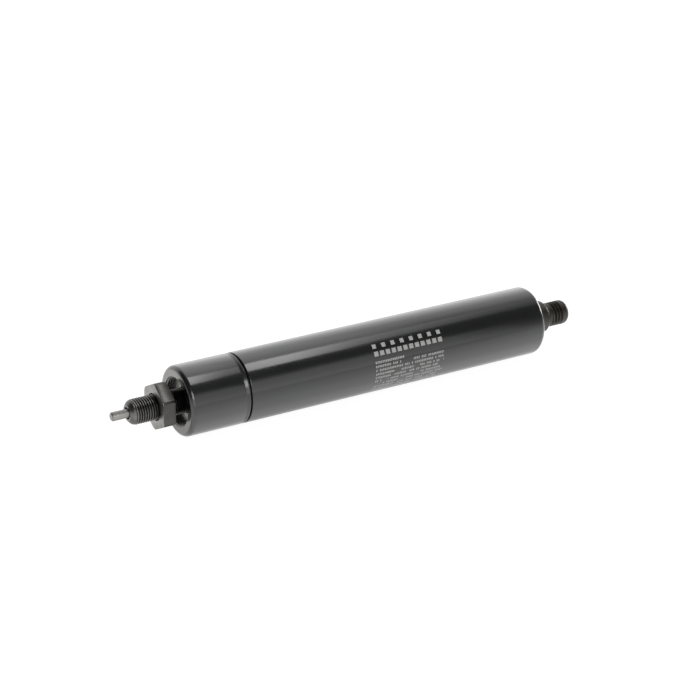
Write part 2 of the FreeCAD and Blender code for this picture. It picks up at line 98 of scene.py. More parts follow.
# %% [markdown]
# ## Selecting and finishing, the same way each time
# An operator works on all that is selected, so a step starts by letting go of everything. The helpers below
# do what a hand does in the viewport: take one object, change to edit mode, pick by place, come back,
# apply.

# %% Small helpers for selecting and applying


def take(piece):
    """Selects one object alone and makes it the active one."""
    bpy.ops.object.select_all(action="DESELECT")
    piece.select_set(True)
    bpy.context.view_layer.objects.active = piece


def add_primitive(operator, name, **settings):
    """Adds a primitive with nothing else selected, and names it."""
    bpy.ops.object.select_all(action="DESELECT")
    operator(**settings)
    piece = bpy.context.object
    piece.name = piece.data.name = name
    return piece


def apply_modifier(piece, kind, **settings):
    """Adds a modifier with its settings, and applies it."""
    take(piece)
    modifier = piece.modifiers.new(kind.lower(), kind)
    for key, value in settings.items():
        setattr(modifier, key, value)
    bpy.ops.object.modifier_apply(modifier=modifier.name)


def edit_all(piece):
    """Goes into edit mode with the whole mesh selected."""
    take(piece)
    bpy.ops.object.mode_set(mode="EDIT")
    bpy.ops.mesh.select_all(action="SELECT")


def leave_edit():
    bpy.ops.object.mode_set(mode="OBJECT")


def triangles(piece):
    return sum(len(face.vertices) - 2 for face in piece.data.polygons)


# %% [markdown]
# ## Turning on a lathe
# Nearly every piece of a gas spring comes off a lathe. The outline of half a section is drawn point by
# point, as an extruded vertex, and the spin operator carries it round the axis. Scaled cylinders would need
# a boolean for each step, and would leave seams. The outline keeps each chamfer and each round in one clean
# mesh.

# %% The lathe
LATHE_SIDES = 192
MERGE_DISTANCE = 0.0005 * MM


def turned(name, outline, sides=LATHE_SIDES):
    """A solid turned about X from (x, radius) points in millimetres.

    A bored piece's outline closes on itself."""
    bored = outline[0][1] > 0
    piece = add_primitive(bpy.ops.mesh.primitive_plane_add, name, size=MM)
    bpy.ops.object.mode_set(mode="EDIT")
    bpy.ops.mesh.merge(type="CENTER")
    bpy.ops.transform.translate(value=(outline[0][0] * MM, 0, outline[0][1] * MM))
    for (x0, r0), (x1, r1) in zip(outline, outline[1:] + outline[:bored]):
        step = ((x1 - x0) * MM, 0, (r1 - r0) * MM)
        bpy.ops.mesh.extrude_vertices_move(TRANSFORM_OT_translate={"value": step})
    bpy.ops.mesh.select_all(action="SELECT")
    bpy.ops.mesh.remove_doubles(threshold=MERGE_DISTANCE)
    bpy.ops.mesh.spin(steps=sides, angle=2 * pi, axis=(1, 0, 0), use_auto_merge=True)
    bpy.ops.mesh.select_all(action="SELECT")
    bpy.ops.mesh.remove_doubles(threshold=MERGE_DISTANCE)
    bpy.ops.mesh.dissolve_degenerate(threshold=MERGE_DISTANCE)
    bpy.ops.mesh.normals_make_consistent(inside=False)
    leave_edit()
    return piece


def rounded(corner, radius, start, end, steps=8):
    """Points of a round whose square corner would be at corner, from one angle to the other in degrees."""
    x, r = corner
    middle_x = x - radius * (1 if cos(radians((start + end) / 2)) > 0 else -1)
    middle_r = r - radius * (1 if sin(radians((start + end) / 2)) > 0 else -1)
    angles = [radians(start + (end - start) * i / steps) for i in range(steps + 1)]
    return [(middle_x + radius * cos(a), middle_r + radius * sin(a)) for a in angles]


# %% [markdown]
# ## Cutting a real thread
# In the construction model a thread is a row of rings, which is enough to measure. A cut thread is one
# groove that climbs along the axis by its pitch each turn. The cutter is the tool's trapezium, carried
# round by a Screw modifier, and a boolean takes the coil out of the blank, as the tool does on the lathe. A
# bump map would leave the outline of the rod straight, and just there the eye sees a thread best.

# %% The thread tool
THREAD_DEPTH = 0.5413  # depth of a 60 degree thread, as a share of its pitch
THREAD_ROOT = 0.25  # flat at its root, as a share of its pitch
FLANK = tan(radians(30))
TOOL_OVERLAP = 0.05  # how far the tool stands out of the blank, as a share of the pitch


def thread_coil(name, start, turns, pitch, root_r, open_r, sides=72, ease_in=0.0, ease_out=0.0):
    """The coil of metal that a thread tool takes out, narrow at the root and wide where the groove opens.

    Over the eased part of its first and last turn the tool comes in, or is drawn back."""
    floor = THREAD_ROOT * pitch / 2
    mouth = floor + abs(open_r - root_r) * FLANK
    coil = add_primitive(bpy.ops.mesh.primitive_plane_add, name, size=MM)
    section = [(-floor, root_r), (floor, root_r), (-mouth, open_r), (mouth, open_r)]
    for vertex, (x, r) in zip(coil.data.vertices, section):
        vertex.co = ((start + x) * MM, 0, r * MM)
    edit_all(coil)
    bpy.ops.mesh.delete(type="ONLY_FACE")
    leave_edit()
    apply_modifier(coil, "SCREW", axis="X", angle=2 * pi, screw_offset=pitch * MM, iterations=turns,
                   steps=sides, render_steps=sides)
    for vertex in coil.data.vertices:
        turn = vertex.index // len(section) / sides
        eased = max(1 - turn / ease_in if ease_in else 0, 1 - (turns - turn) / ease_out if ease_out else 0)
        if eased > 0:
            r = sqrt(vertex.co.y ** 2 + vertex.co.z ** 2)
            moved = (r + (open_r - root_r) * MM * eased) / r
            vertex.co.y *= moved
            vertex.co.z *= moved
    edit_all(coil)
    bpy.ops.mesh.select_all(action="DESELECT")
    bpy.ops.mesh.select_non_manifold()
    bpy.ops.mesh.fill_holes(sides=len(section))
    bpy.ops.mesh.select_all(action="SELECT")
    bpy.ops.mesh.normals_make_consistent(inside=False)
    leave_edit()
    return coil


def cut(piece, tool):
    """Takes the tool out of the piece and throws the tool away."""
    apply_modifier(piece, "BOOLEAN", operation="DIFFERENCE", solver="EXACT", object=tool)
    bpy.data.objects.remove(tool)


def thread_outside(piece, start, turns, pitch, crest_r, **easing):
    root_r = crest_r - THREAD_DEPTH * pitch
    open_r = crest_r + TOOL_OVERLAP * pitch
    cut(piece, thread_coil(piece.name + "_tool", start, turns, pitch, root_r, open_r, **easing))


def thread_inside(piece, start, turns, pitch, crest_r, **easing):
    open_r = crest_r - (THREAD_DEPTH + TOOL_OVERLAP) * pitch
    cut(piece, thread_coil(piece.name + "_tool", start, turns, pitch, crest_r, open_r, **easing))


# %% [markdown]
# ## Finishes
# A colour is written as it looks, as a hex value, and one function makes it linear for the shader. One more
# function adds a node with its settings and its links, so that each finish below reads as a list of what it
# is made of.

# %% Colour and node helpers


def colour(code):
    """Linear RGBA of an sRGB hex colour."""
    channels = [int(code[i:i + 2], 16) / 255 for i in (0, 2, 4)]
    return [c / 12.92 if c <= 0.04045 else ((c + 0.055) / 1.055) ** 2.4 for c in channels] + [1.0]


def add(tree, kind, settings=None, links=None):
    """Adds a node. Settings are its properties or socket values, links are {socket: (node, output)}."""
    node = tree.nodes.new(kind)
    for key, value in (settings or {}).items():
        if isinstance(key, int) or key in node.inputs:
            node.inputs[key].default_value = value
        else:
            setattr(node, key, value)
    for key, (source, output) in (links or {}).items():
        tree.links.new(source.outputs[output], node.inputs[key])
    return node


def new_finish(name):
    """An empty material with its tree, its surface shader, its output and the object's own coordinates."""
    material = bpy.data.materials.new(name)
    material.use_nodes = True
    tree = material.node_tree
    tree.nodes.clear()
    shader = add(tree, "ShaderNodeBsdfPrincipled")
    add(tree, "ShaderNodeOutputMaterial", links={"Surface": (shader, "BSDF")})
    place = add(tree, "ShaderNodeTexCoord")
    return material, tree, shader, place


def set_constants(shader, **values):
    """Sets sockets of the surface shader that are the same all over."""
    for key, value in values.items():
        shader.inputs[key.replace("_", " ")].default_value = value


def per_metre(size_mm):
    """Scale of a pattern whose features are that many millimetres apart."""
    return 1 / (size_mm * MM)


def link_surface(tree, shader, shade, satin, bump):
    """Links a finish's colour, satin and relief to its surface shader."""
    tree.links.new(shade.outputs["Color"], shader.inputs["Base Color"])
    tree.links.new(satin.outputs["Result"], shader.inputs["Roughness"])
    tree.links.new(bump.outputs["Normal"], shader.inputs["Normal"])


def from_axis(tree, axes):
    """How far a point lies from the spring's axis."""
    flat = add(tree, "ShaderNodeCombineXYZ", links={"Y": (axes, "Y"), "Z": (axes, "Z")})
    return add(tree, "ShaderNodeVectorMath", {"operation": "LENGTH"}, {0: (flat, "Vector")})


MOTTLE_EDGES = 0.35, 0.65  # between these values of the noise the darker shade turns into the lighter one
RELIEF_MM = 0.02  # depth of tool marks and of orange peel, drawn deeper than real so that they show


def mottled(tree, place, dark, light, size_mm, detail=3):
    """A colour that wanders between two shades over that size."""
    noise = add(tree, "ShaderNodeTexNoise", {"Scale": per_metre(size_mm), "Detail": detail},
                {"Vector": (place, "Object")})
    ramp = add(tree, "ShaderNodeValToRGB", links={"Fac": (noise, "Fac")})
    for stop, position, code in zip(ramp.color_ramp.elements, MOTTLE_EDGES, (dark, light)):
        stop.position = position
        stop.color = colour(code)
    return noise, ramp


# %% [markdown]
# ### Gloss black stoving enamel
# The tube and the collar are drawn and turned steel, degreased, sprayed and stoved. The enamel is a pigment
# layer under a glossy skin, so the finish has a satin base and a coat on top. Sprayed enamel dries with a
# faint orange peel, waves about 2 mm long and a few micrometres deep, which only shows as an unsteady edge
# of the reflections.

# %% Stoving enamel
ENAMEL_DARK = "18191a"
ENAMEL_LIGHT = "1e1f20"
ORANGE_PEEL_MM = 1.8
DUST_MM = 2.4
DUST_SIZE = 0.045  # radius of a speck, as a share of the distance between specks
DUST_HEIGHT = 0.5  # height of a speck, as a share of the orange peel's
ENAMEL_SHADE_MM = 14


def stoving_enamel(name):
    """Glossy black enamel on steel. Returns its colour too, so that ink can be laid over it."""
    material, tree, shader, place = new_finish(name)
    wander, shade = mottled(tree, place, ENAMEL_DARK, ENAMEL_LIGHT, ENAMEL_SHADE_MM)
    peel = add(tree, "ShaderNodeTexNoise", {"Scale": per_metre(ORANGE_PEEL_MM), "Detail": 1.5},
               {"Vector": (place, "Object")})
    grit = add(tree, "ShaderNodeTexVoronoi", {"Scale": per_metre(DUST_MM)}, {"Vector": (place, "Object")})
    speck = add(tree, "ShaderNodeMapRange",
                {"From Min": 0.0, "From Max": DUST_SIZE, "To Min": 1.0, "To Max": 0.0},
                {"Value": (grit, "Distance")})
    relief = add(tree, "ShaderNodeMath", {"operation": "MULTIPLY_ADD", 1: DUST_HEIGHT},
                 {0: (speck, "Result"), 2: (peel, "Fac")})
    bump = add(tree, "ShaderNodeBump", {"Strength": 0.12, "Distance": RELIEF_MM * MM},
               {"Height": (relief, "Value")})
    satin = add(tree, "ShaderNodeMapRange", {"To Min": 0.20, "To Max": 0.28}, {"Value": (wander, "Fac")})
    link_surface(tree, shader, shade, satin, bump)
    tree.links.new(bump.outputs["Normal"], shader.inputs["Coat Normal"])
    set_constants(shader, IOR=1.55, Coat_Weight=1.0, Coat_Roughness=0.12, Coat_IOR=1.52)
    return material, tree, shader, place, shade


enamel = stoving_enamel("stoving_enamel_black")[0]

# %% [markdown]
# ### Printed enamel
# The tube carries a block of pad printing in light grey ink: two large lines and eleven fine ones. A name
# or a warning has no place on a shared part, so the lines here are plain bars and dashes of the same sizes.
# They are drawn by the shader from two numbers, the place along the tube and the angle round it. Cutting
# them into the mesh would cost many thin faces for ink that has no thickness. The sums are a table of rows:
# a name, an operation, and values that are numbers or the names of earlier sums. CHANCE draws a lot for
# each cell, so that words and strokes miss.

# %% Printed enamel
PRINT_FRONT_MM = -89.4
PRINT_LENGTH_MM = 31.4
INK = "e6e6e4"
HEADER_LINES = [
    # middle and half height round the tube in degrees, number of bars, length of one in mm, share of the ink
    (40.8, 3.6, 8, 1.7, 0.82),
    (28.2, 3.9, 12, 1.85, 0.76),
]
FINE_TOP_DEG = 17.4
FINE_PITCH_DEG = 6.8
FINE_LINES = 11
FINE_INK = 0.78
FINE_MIDDLE = 0.49  # middle of a fine line, as a share of the pitch
FINE_HALF = 0.27  # half its height, as a share of the pitch
FIRST_LINE = 0.42  # length of the first fine line, as a share of the block's
WORD_MM = 2.9
WORD_SEED = 3
WORDS_KEPT = 0.82
STROKE_MM = 0.78
STROKE_INKED = 0.66  # inked share of a stroke's room
STROKE_SEED = 7
STROKES_KEPT = 0.86

sums = [
    ("along", "MULTIPLY_ADD", "x", 1 / MM, -PRINT_FRONT_MM),
    ("toward", "MULTIPLY", "y", -1),
    ("angle", "ARCTAN2", "z", "toward"),
    ("angle", "DEGREES", "angle"),
    ("ink", "MULTIPLY", "angle", 0),
]
for middle, half, bars, bar_mm, share in HEADER_LINES:
    pitch = (PRINT_LENGTH_MM - bar_mm) / (bars - 1)
    sums += [
        ("in_line", "COMPARE", "angle", middle, half),
        ("bar", "DIVIDE", "along", pitch),
        ("bar", "FRACT", "bar"),
        ("bar", "LESS_THAN", "bar", bar_mm / pitch),
        ("bar", "MULTIPLY", "bar", "in_line"),
        ("ink", "MULTIPLY_ADD", "bar", share, "ink"),
    ]
sums += [
    ("drop", "SUBTRACT", FINE_TOP_DEG, "angle"),
    ("drop", "DIVIDE", "drop", FINE_PITCH_DEG),
    ("line_number", "FLOOR", "drop"),
    ("word_number", "DIVIDE", "along", WORD_MM),
    ("word_number", "FLOOR", "word_number"),
    ("stroke", "DIVIDE", "along", STROKE_MM),
    ("stroke_number", "FLOOR", "stroke"),
    ("in_block", "COMPARE", "drop", FINE_LINES / 2, FINE_LINES / 2),
    ("in_line", "FRACT", "drop"),
    ("in_line", "COMPARE", "in_line", FINE_MIDDLE, FINE_HALF),
    ("in_stroke", "FRACT", "stroke"),
    ("in_stroke", "LESS_THAN", "in_stroke", STROKE_INKED),
    ("not_first", "GREATER_THAN", "line_number", 0.5),
    ("short_first", "LESS_THAN", "along", FIRST_LINE * PRINT_LENGTH_MM),
    ("fine", "MAXIMUM", "not_first", "short_first"),
    ("fine", "MULTIPLY", "fine", "in_block"),
    ("fine", "MULTIPLY", "fine", "in_line"),
    ("fine", "MULTIPLY", "fine", "in_stroke"),
    ("word_chance", "CHANCE", "word_number", "line_number", WORD_SEED),
    ("word_printed", "LESS_THAN", "word_chance", WORDS_KEPT),
    ("fine", "MULTIPLY", "fine", "word_printed"),
    ("stroke_chance", "CHANCE", "stroke_number", "line_number", STROKE_SEED),
    ("stroke_printed", "LESS_THAN", "stroke_chance", STROKES_KEPT),
    ("fine", "MULTIPLY", "fine", "stroke_printed"),
    ("ink", "MULTIPLY_ADD", "fine", FINE_INK, "ink"),
    ("in_print", "COMPARE", "along", PRINT_LENGTH_MM / 2, PRINT_LENGTH_MM / 2),
    ("ink", "MULTIPLY", "ink", "in_print"),
]

printed_enamel, tree, shader, place, shade = stoving_enamel("stoving_enamel_black_printed")
axes = add(tree, "ShaderNodeSeparateXYZ", links={"Vector": (place, "Object")})
made = {"x": (axes, "X"), "y": (axes, "Y"), "z": (axes, "Z")}
for name, operation, *values in sums:
    settings = {i: value for i, value in enumerate(values) if not isinstance(value, str)}
    links = {i: made[value] for i, value in enumerate(values) if isinstance(value, str)}
    if operation == "CHANCE":
        cell = add(tree, "ShaderNodeCombineXYZ", settings, links)
        node = add(tree, "ShaderNodeTexWhiteNoise", links={"Vector": (cell, "Vector")})
    else:
        node = add(tree, "ShaderNodeMath", {"operation": operation, **settings}, links)
    made[name] = (node, 0)
laid = add(tree, "ShaderNodeMix", {"data_type": "RGBA", 7: colour(INK)},
           {0: made["ink"], 6: (shade, "Color")})
tree.links.new(laid.outputs[2], shader.inputs["Base Color"])

# %% [markdown]
# ### Blackened steel
# The nut, the collar's turned face and the rear stud are blackened in a hot salt bath. The layer is a
# micrometre thick, so the steel's own sheen comes through it: a dark grey metal, satin, with the tool's
# marks still in it. On a turned face the marks are rings round the axis, so their pattern changes only
# along the radius.

# %% Blackened steel
STEEL_SHADE_MM = 3.5
STEEL_GRAIN_MM = 0.35
GRAIN_HEIGHT = 0.6  # height of the grain, as a share of the tool marks'


def blackened_steel(name, dark, light, satin_low, satin_high, mark_mm, radial=False):
    """Dark satin steel. The tool's marks are rings round the axis, or lines across it on a flat."""
    material, tree, shader, place = new_finish(name)
    shade = mottled(tree, place, dark, light, STEEL_SHADE_MM)[1]
    axes = add(tree, "ShaderNodeSeparateXYZ", links={"Vector": (place, "Object")})
    if radial:
        marks_at = add(tree, "ShaderNodeCombineXYZ", links={"X": (from_axis(tree, axes), "Value")})
    else:
        marks_at = add(tree, "ShaderNodeCombineXYZ", links={"X": (axes, "X")})
    marks = add(tree, "ShaderNodeTexNoise", {"Scale": per_metre(mark_mm), "Detail": 2},
                {"Vector": (marks_at, "Vector")})
    grain = add(tree, "ShaderNodeTexNoise", {"Scale": per_metre(STEEL_GRAIN_MM), "Detail": 3},
                {"Vector": (place, "Object")})
    relief = add(tree, "ShaderNodeMath", {"operation": "MULTIPLY_ADD", 1: GRAIN_HEIGHT},
                 {0: (grain, "Fac"), 2: (marks, "Fac")})
    bump = add(tree, "ShaderNodeBump", {"Strength": 0.25, "Distance": RELIEF_MM * MM},
               {"Height": (relief, "Value")})
    satin = add(tree, "ShaderNodeMapRange", {"To Min": satin_low, "To Max": satin_high},
                {"Value": (grain, "Fac")})
    link_surface(tree, shader, shade, satin, bump)
    set_constants(shader, Metallic=1.0)
    return material


# Nut faces drawn much lighter than the flats, partly as their turned finish and partly as painted light.
nut_face_steel_and_light = blackened_steel("blackened_steel_nut_face_and_light", "9b9a97", "a5a4a1", 0.36, 0.48, 0.3, radial=True)
nut_flat_steel = blackened_steel("blackened_steel_nut_flat", "4d4c4a", "555452", 0.22, 0.30, 0.3)
# Painted shade: the nut's bore and countersink are drawn nearly black.
nut_bore_painted_shade = blackened_steel("blackened_steel_painted_shade_nut_bore", "2c2c2c", "363636", 0.40, 0.55, 0.3)
face_steel = blackened_steel("blackened_steel_face", "868583", "908f8d", 0.13, 0.20, 0.25, radial=True)
# Painted reflection: the mouth's floor is drawn nearly white.
mouth_floor_painted_light = blackened_steel("mouth_floor_painted_reflection", "d6d5d2", "e0dfdc", 0.50, 0.65, 0.25,
                              radial=True)
# Painted shade: the mouth's walls are drawn darker than the face.
mouth_wall_painted_shade = blackened_steel("blackened_steel_mouth_painted_shade", "6a6a69", "787877", 0.34, 0.48, 0.4)
stud_steel = blackened_steel("blackened_steel_stud", "4d4b47", "595752", 0.36, 0.50, 0.3)
pin_steel = blackened_steel("ground_pin_steel", "9b9a97", "a5a4a0", 0.42, 0.54, 0.2)

# %% [markdown]
# ### Nitrided rod
# Nitriding turns the rod nearly black. The heads and nuts that were screwed over the thread have worn its
# crests grey again, so the shade follows the distance from the axis: black in the grooves, and lighter over
# the last two tenths of a millimetre. In front of the nut the worn grey fades out as a painted shade of the
# nut, and from the nut's front face on the rod is painted darker, as shade inside the collar. The rod's tip
# was faced after nitriding, so it stays grey.

# %% Nitrided rod
RUBBED_FROM_MM = 4.80
RUBBED_FULL_MM = 4.98
# Span in front of the nut over which the worn grey fades out, as painted shade of the nut.
NUT_SHADE_FADE_MM = nut_front - 3.2, nut_front
RUBBED_SHADE = "8c8b87"
TIP_LENGTH_MM = 2.9
TIP_RUB = 0.6
# Colour of the painted shade on the rod from the nut's front face on.
BEHIND_NUT_PAINTED_SHADE = "3c3c3b"

rod_steel = blackened_steel("nitrided_rod_steel", "424241", "4c4c4b", 0.28, 0.38, 0.12)
tree = rod_steel.node_tree
shader = next(node for node in tree.nodes if node.type == "BSDF_PRINCIPLED")
dark_shade = shader.inputs["Base Color"].links[0].from_socket
place = add(tree, "ShaderNodeTexCoord")
axes = add(tree, "ShaderNodeSeparateXYZ", links={"Vector": (place, "Object")})
rub_and_nut_shade = add(tree, "ShaderNodeMapRange",
             {"From Min": RUBBED_FROM_MM * MM, "From Max": RUBBED_FULL_MM * MM, "To Min": 0.0, "To Max": 1.0},
             {"Value": (from_axis(tree, axes), "Value")})
# Painted shade of the nut: the worn grey fades out towards its front face.
outside_nut_shade = add(tree, "ShaderNodeMapRange",
               {"From Min": NUT_SHADE_FADE_MM[0] * MM, "From Max": NUT_SHADE_FADE_MM[1] * MM,
                "To Min": 1.0, "To Max": 0.0}, {"Value": (axes, "X")})
at_tip = add(tree, "ShaderNodeMath", {"operation": "LESS_THAN", 1: (rod_front + TIP_LENGTH_MM) * MM},
             {0: (axes, "X")})
rub_and_nut_shade = add(tree, "ShaderNodeMath", {"operation": "MULTIPLY"},
             {0: (rub_and_nut_shade, "Result"), 1: (outside_nut_shade, "Result")})
rub_and_nut_shade = add(tree, "ShaderNodeMath", {"operation": "MULTIPLY_ADD", 1: TIP_RUB},
             {0: (at_tip, "Value"), 2: (rub_and_nut_shade, "Value")})
shade = add(tree, "ShaderNodeMix", {"data_type": "RGBA", 7: colour(RUBBED_SHADE)}, {0: (rub_and_nut_shade, "Value")})
tree.links.new(dark_shade, shade.inputs[6])
# Painted shade: from the nut's front face on, the rod is drawn darker.
in_nut_painted_shade = add(tree, "ShaderNodeMath", {"operation": "GREATER_THAN", 1: nut_front * MM}, {0: (axes, "X")})
shade = add(tree, "ShaderNodeMix", {"data_type": "RGBA", 7: colour(BEHIND_NUT_PAINTED_SHADE)},
            {0: (in_nut_painted_shade, "Value"), 6: (shade, 2)})
tree.links.new(shade.outputs[2], shader.inputs["Base Color"])

# %% [markdown]
# ## Camera
# The photograph looks down on the spring's front left end through a long lens, so the perspective is mild.
# The camera's place and focal length were found by laying the drawing's circles over the picture until they
# fitted.

# %% Camera
CAMERA_PLACE = (-0.5112, -0.7172, 0.3649)
CAMERA_AHEAD = (0.4619, 0.7926, -0.3980)
PICTURE_SIDE_PX = 700
FOCAL_LENGTH_PX = 2284.8
SENSOR_WIDTH = 36

bpy.ops.object.select_all(action="DESELECT")
bpy.ops.object.camera_add(location=CAMERA_PLACE)
camera = bpy.context.object
camera.name = "portrait_camera"
camera.rotation_euler = Vector(CAMERA_AHEAD).to_track_quat("-Z", "Y").to_euler()
camera.data.sensor_width = SENSOR_WIDTH
camera.data.lens = FOCAL_LENGTH_PX / PICTURE_SIDE_PX * SENSOR_WIDTH
bpy.context.scene.camera = camera
bpy.context.scene.view_settings.view_transform = "Standard"
print(f"lens {camera.data.lens:.1f} mm")

# %% [markdown]
# ## Studio
# A black gloss cylinder shows nothing but its surroundings, so the studio is what the eye reads. A row of
# softbox panels hangs above and past the rear end, where the tube mirrors it, and draws the bright band
# along the top. The panels grow weaker from left to right, so the band fades towards the rear. Each panel
# is two layers deep, so that the band has soft sides, and a weak skirt goes on behind the first ones. White
# cards behind the camera fill the side below the dark line, and the white floor the lower half. One strip
# on the left and one on the right draw the bright lines on the rounded edges.

# %% Softboxes
TOP_Z = 0.90
TOP_PANELS = [
    # from and to along the spring, radiance
    (0.02, 0.19, 4.3), (0.19, 0.22, 3.0), (0.22, 0.255, 2.2), (0.255, 0.30, 1.3), (0.30, 0.34, 0.95),
    (0.34, 0.40, 0.90), (0.40, 0.46, 0.68), (0.46, 0.50, 0.52), (0.50, 0.56, 0.36), (0.56, 0.72, 0.25),
]
TOP_LAYERS = [
    # share of the radiance, near edge left of RIGHT_PANELS_FROM, near edge right of it, far edge
    (0.8, -0.37, -0.29, 0.07),
    (0.3, -0.30, -0.24, 0.00),
]
RIGHT_PANELS_FROM = 0.30
LAMPS = [
    # name, place, aimed at, width, depth, radiance
    ("front_card", (-0.07, -1.50, 0.415), (-0.07, 0.0, 0.415), 1.86, 0.93, 0.62),
    ("front_card_top", (-0.07, -1.50, 1.00), (-0.07, 0.0, 1.00), 1.86, 0.24, 0.28),
    ("front_card_end", (0.93, -1.50, 0.415), (0.93, 0.0, 0.415), 0.14, 0.93, 0.34),
    ("near_strip", (-0.46, -1.00, 0.65), (-0.17, 0.0, 0.0), 0.52, 0.45, 3.0),
    ("right_strip", (0.95, 0.20, 0.13), (0.0, 0.0, 0.0), 0.50, 0.12, 10.0),
    ("back_skirt", (0.175, 0.45, 0.90), (0.175, 0.45, 0.0), 0.35, 0.70, 0.28),
]
for i, (begins, ends, radiance) in enumerate(TOP_PANELS):
    for j, (share, near, right_near, far) in enumerate(TOP_LAYERS):
        near = near if begins < RIGHT_PANELS_FROM else right_near
        over = ((begins + ends) / 2, (near + far) / 2)
        LAMPS.append((f"top_panel_{i + 1}_{j + 1}", (*over, TOP_Z), (*over, 0.0), ends - begins, far - near,
                      radiance * share))

for name, place_at, aim, width, depth, radiance in LAMPS:
    bpy.ops.object.select_all(action="DESELECT")
    bpy.ops.object.light_add(type="AREA", location=place_at)
    lamp = bpy.context.object
    lamp.name = name
    lamp.rotation_euler = (Vector(aim) - Vector(place_at)).to_track_quat("-Z", "Y").to_euler()
    lamp.data.shape = "RECTANGLE"
    lamp.data.size, lamp.data.size_y = width, depth
    lamp.data.energy = radiance * pi * width * depth
    lamp.visible_camera = False

# %% [markdown]
# ### Room
# The room beyond the lamps is nearly white, and the gloss mirrors it too. A real room isn't even, so five
# zones, each round one direction, change its light: four are darker, for the dark parts of the gloss, and
# one is brighter. The camera itself sees plain white.

# %% World
ROOM_WHITE = 0.93
ZONES = [
    # direction, cosines where the room begins to change and is fully changed, what its light is multiplied by
    ((0.43, -0.62, 0.66), 0.45, 0.95, 0.085),
    ((0.98, -0.05, 0.15), 0.86, 0.96, 0.15),
    ((0.88, 0.42, 0.20), 0.92, 0.98, 0.25),
    ((-0.70, 0.0, 0.70), 0.55, 0.85, 0.05),
    ((0.40, 0.85, 0.32), 0.86, 0.97, 1.30),
]

world = bpy.data.worlds.new("studio")
bpy.context.scene.world = world
world.use_nodes = True
tree = world.node_tree
tree.nodes.clear()
facing = add(tree, "ShaderNodeTexCoord")
room = add(tree, "ShaderNodeValue")
room.outputs[0].default_value = ROOM_WHITE
for direction, begins, full, share_left in ZONES:
    toward = add(tree, "ShaderNodeVectorMath",
                 {"operation": "DOT_PRODUCT", 1: Vector(direction).normalized()}, {0: (facing, "Generated")})
    share = add(tree, "ShaderNodeMapRange", {"From Min": begins, "From Max": full, "To Min": 1.0,
                                             "To Max": share_left, "interpolation_type": "SMOOTHSTEP"},
                {"Value": (toward, "Value")})
    room = add(tree, "ShaderNodeMath", {"operation": "MULTIPLY"}, {0: (room, 0), 1: (share, "Result")})
rays = add(tree, "ShaderNodeLightPath")
level = add(tree, "ShaderNodeMix", {"data_type": "FLOAT", "B": 1.0},
            {"Factor": (rays, "Is Camera Ray"), "A": (room, 0)})
backdrop = add(tree, "ShaderNodeBackground", {"Color": (1, 1, 1, 1)}, {"Strength": (level, "Result")})
add(tree, "ShaderNodeOutputWorld", links={"Surface": (backdrop, "Background")})

# %% [markdown]
# ### Floor
# White paper. Its own colour is set to a middle grey, which keeps the spring's shadow faint, and light of
# its own, seen only by the camera and by reflections, brings it up to the picture's white. The light that
# the gloss of the tube mirrors from it is painted uneven: a painted shadow close under the tube, brightest a
# little in front of it, and a painted falloff further off and to the right.

# %% Floor
FLOOR_SIDE = 12.0
FLOOR_GLOW = 0.94
MIRRORED_GLOW = 1.05
MIRRORED_REACH = 0.16
PAST_REAR_END = 0.014
PAPER = "8a8a8a"
WEAKER_FROM_X, WEAKER_TO_X = -0.10, 0.15
WEAKER_LEFT, WEAKER_RIGHT = 0.15, 0.40
FAR_FROM_Y, FAR_TO_Y = -0.03, -0.16
# Painted shadow in the mirrored glow, dim close under the tube and past its rear end.
MIRRORED_SHADOW_SHARES = [
    # how far aside of the axis or past the rear end, share of the glow
    (0.009, 0.61), (0.0108, 0.76), (0.013, 0.89), (0.015, 1.0), (0.030, 1.0), (0.042, 0.85), (0.068, 0.79),
    (0.160, 0.71),
]

floor = add_primitive(bpy.ops.mesh.primitive_plane_add, "floor", size=FLOOR_SIDE,
                      location=(0, 0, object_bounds()[0].z))
paper = bpy.data.materials.new("white_paper")
paper.use_nodes = True
tree = paper.node_tree
tree.nodes.clear()
rays = add(tree, "ShaderNodeLightPath")
place = add(tree, "ShaderNodeTexCoord")
axes = add(tree, "ShaderNodeSeparateXYZ", links={"Vector": (place, "Object")})
aside = add(tree, "ShaderNodeMath", {"operation": "ABSOLUTE"}, {0: (axes, "Y")})
past_end = add(tree, "ShaderNodeMath", {"operation": "ADD", 1: PAST_REAR_END}, {0: (axes, "X")})
away = add(tree, "ShaderNodeMath", {"operation": "MAXIMUM"}, {0: (aside, "Value"), 1: (past_end, "Value")})
away = add(tree, "ShaderNodeMath", {"operation": "DIVIDE", 1: MIRRORED_REACH}, {0: (away, "Value")})
ramp = add(tree, "ShaderNodeValToRGB", links={"Fac": (away, "Value")})
stops = ramp.color_ramp.elements
while len(stops) < len(MIRRORED_SHADOW_SHARES):
    stops.new(0.5)
for stop, (at, share) in zip(stops, MIRRORED_SHADOW_SHARES):
    stop.position = at / MIRRORED_REACH
    stop.color = (share, share, share, 1.0)
